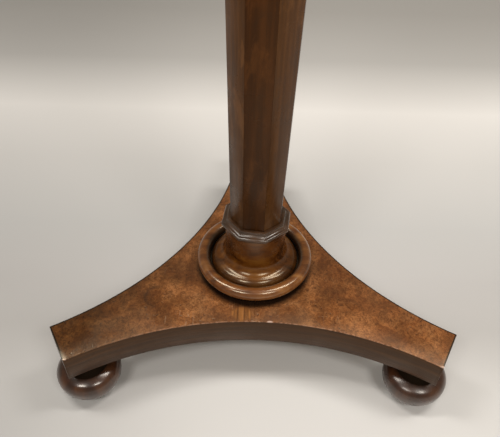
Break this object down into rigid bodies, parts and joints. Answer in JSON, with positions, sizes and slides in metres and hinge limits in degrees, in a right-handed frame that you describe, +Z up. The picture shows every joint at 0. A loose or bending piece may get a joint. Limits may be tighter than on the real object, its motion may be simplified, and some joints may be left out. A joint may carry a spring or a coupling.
{
  "type": "tilt-top occasional table",
  "caption": "Tilt-top pedestal table: round veneered top on a flared octagonal column with a mitred collar, turned socle and ring, on a hollow-sided platform with bun feet.",
  "frame": {"origin": "on the column's axis, at floor level", "axes": "+Z up along the column, -Y to the front, towards the hollow side between the two front arms, +X to the right"},
  "size_m": [0.52, 0.52, 0.72],
  "materials": {
    "burr_veneer": "French-polished burr walnut veneer, mottled",
    "edge_veneer": "dark polished straight-grained walnut veneer",
    "turned_foot": "dark polished turned walnut, glossy",
    "turned_socle": "reddish polished turned walnut",
    "column_veneer": "polished walnut veneer with a vertical grain",
    "collar_moulding": "dark polished walnut moulding",
    "crossband_veneer": "polished cross-grained walnut veneer",
    "rim_walnut": "polished solid walnut edging",
    "pine_ground": "bare aged pine",
    "mahogany": "oiled mahogany",
    "beech": "bare beech",
    "brass": "aged brass",
    "steel": "dull steel"
  },
  "bodies": {
    "base": {"platform_core": "pine_ground", "platform_leaf_back": "burr_veneer", "platform_leaf_left": "burr_veneer", "platform_leaf_right": "burr_veneer", "side_veneer_front": "edge_veneer", "side_veneer_right": "edge_veneer", "side_veneer_left": "edge_veneer", "end_veneer_back": "edge_veneer", "end_veneer_left": "edge_veneer", "end_veneer_right": "edge_veneer", "foot_back": "turned_foot", "foot_left": "turned_foot", "foot_right": "turned_foot", "socle_ring": "turned_socle", "socle": "turned_socle", "column_core": "pine_ground", "column_leaf_1": "column_veneer", "column_leaf_2": "column_veneer", "column_leaf_3": "column_veneer", "column_leaf_4": "column_veneer", "column_leaf_5": "column_veneer", "column_leaf_6": "column_veneer", "column_leaf_7": "column_veneer", "column_leaf_8": "column_veneer", "foot_collar": "collar_moulding", "head_collar": "collar_moulding", "lower_wedge": "beech", "upper_wedge": "beech", "tilting_block": "mahogany", "pivot_dowel_left": "beech", "pivot_dowel_right": "beech", "strike_plate": "brass", "strike_screws": "brass"},
    "top": {"bearer_left": "mahogany", "bearer_right": "mahogany", "bearer_screws": "steel", "top_board_front": "pine_ground", "top_board_middle": "pine_ground", "top_board_back": "pine_ground", "top_leaf_1": "burr_veneer", "top_leaf_2": "burr_veneer", "top_leaf_3": "burr_veneer", "top_leaf_4": "burr_veneer", "crossbanding": "crossband_veneer", "top_rim_1": "brass", "top_rim_2": "brass", "top_rim_3": "brass", "top_rim_4": "brass", "catch_plate": "brass", "catch_case": "brass", "catch_spring": "steel", "catch_screws": "brass"},
    "bolt": {"catch_bolt": "brass", "catch_knob": "brass"}
  },
  "joints": [
    {"name": "top_tilt", "type": "hinge", "parent": "base", "child": "top", "pos_m": [0, 0.06, 0.686], "axis": [-1, 0, 0], "range_deg": [0, 90]},
    {"name": "bolt_slide", "type": "slide", "parent": "top", "child": "bolt", "axis": [0, -1, 0], "range_m": [0, 0.008], "stiffness_N_per_m": 150, "springref_m": -0.012, "deforming": ["catch_spring"]}
  ]
}
